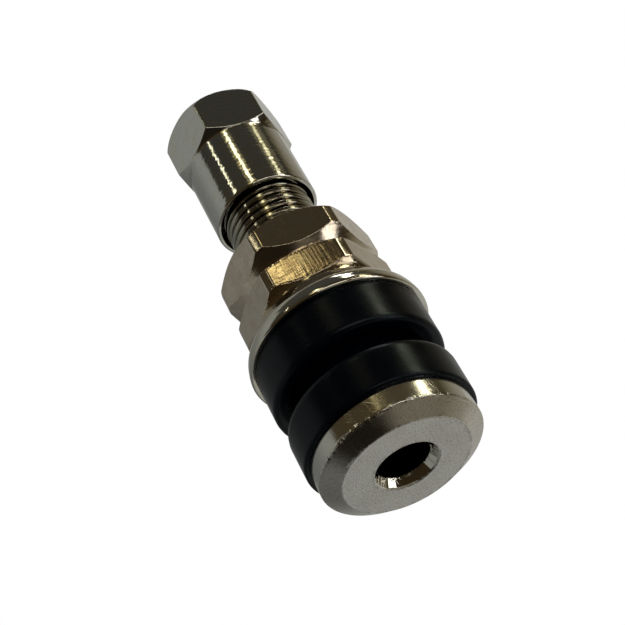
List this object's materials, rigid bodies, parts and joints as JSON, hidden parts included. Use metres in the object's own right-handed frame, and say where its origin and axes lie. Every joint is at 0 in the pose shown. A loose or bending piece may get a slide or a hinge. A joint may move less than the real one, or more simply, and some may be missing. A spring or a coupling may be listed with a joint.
{
  "type": "tyre valve",
  "caption": "Clamp-in tyre valve: bored metal stem with a round head, rubber rim rings, a bell washer, hexagon nuts on a fine thread, a screw cap and a spring-loaded valve core.",
  "frame": {"origin": "centre of the head's flat face, on which the valve stands", "axes": "+Z along the stem from the head to the cap; -Y towards the picture's near side"},
  "size_m": [0.0153, 0.0152, 0.0405],
  "materials": {
    "plated_stem": "nickel plated, turned",
    "rubber": "moulded, satin",
    "plated_washer": "nickel plated, bright",
    "drawn_nut": "nickel plated over drawing marks, scratched",
    "plated_nut": "nickel plated, satin",
    "plated_cap": "nickel plated, bright",
    "seal_rubber": "matte",
    "core_brass": "turned brass",
    "spring_steel": "drawn wire"
  },
  "bodies": {
    "stem_body": {"stem": "plated_stem", "inner_grommet": "rubber", "core_swivel": "core_brass", "core_barrel": "core_brass", "core_gasket": "seal_rubber", "core_spring": "spring_steel"},
    "clamp_stack": {"bell_washer": "plated_washer", "outer_grommet": "rubber"},
    "clamp_nut_body": {"clamp_nut": "drawn_nut"},
    "lock_nut_body": {"lock_nut": "plated_nut"},
    "cap_seal_body": {"cap_gasket": "seal_rubber"},
    "cap_body": {"cap_shell": "plated_cap"},
    "pin_body": {"core_pin": "spring_steel", "core_cup": "core_brass", "core_cup_seal": "seal_rubber"}
  },
  "joints": [
    {"name": "stack_lift", "type": "slide", "parent": "stem_body", "child": "clamp_stack", "axis": [0, 0, 1], "range_m": [0, 0.00397]},
    {"name": "clamp_spin", "type": "hinge", "parent": "clamp_stack", "child": "clamp_nut_body", "pos_m": [0, 0, 0.0171], "axis": [0, 0, 1], "range_deg": [0, 1800]},
    {"name": "lock_spin", "type": "hinge", "parent": "clamp_stack", "child": "lock_nut_body", "pos_m": [0, 0, 0.02105], "axis": [0, 0, 1], "range_deg": [0, 1800]},
    {"name": "cap_lift", "type": "slide", "parent": "stem_body", "child": "cap_seal_body", "axis": [0, 0, 1], "range_m": [0, 0.00794]},
    {"name": "cap_spin", "type": "hinge", "parent": "cap_seal_body", "child": "cap_body", "pos_m": [0, 0, 0.0344], "axis": [0, 0, 1], "range_deg": [0, 3600]},
    {"name": "pin_press", "type": "slide", "parent": "stem_body", "child": "pin_body", "axis": [0, 0, -1], "range_m": [0, 0.0015], "stiffness_N_per_m": 500, "springref_m": -0.003, "deforming": ["core_spring"]}
  ],
  "couplings": [
    {"joint": "clamp_spin", "follows": "stack_lift", "rad_per_m": 7915.8},
    {"joint": "lock_spin", "follows": "stack_lift", "rad_per_m": 7915.8},
    {"joint": "cap_spin", "follows": "cap_lift", "rad_per_m": 7915.8}
  ]
}
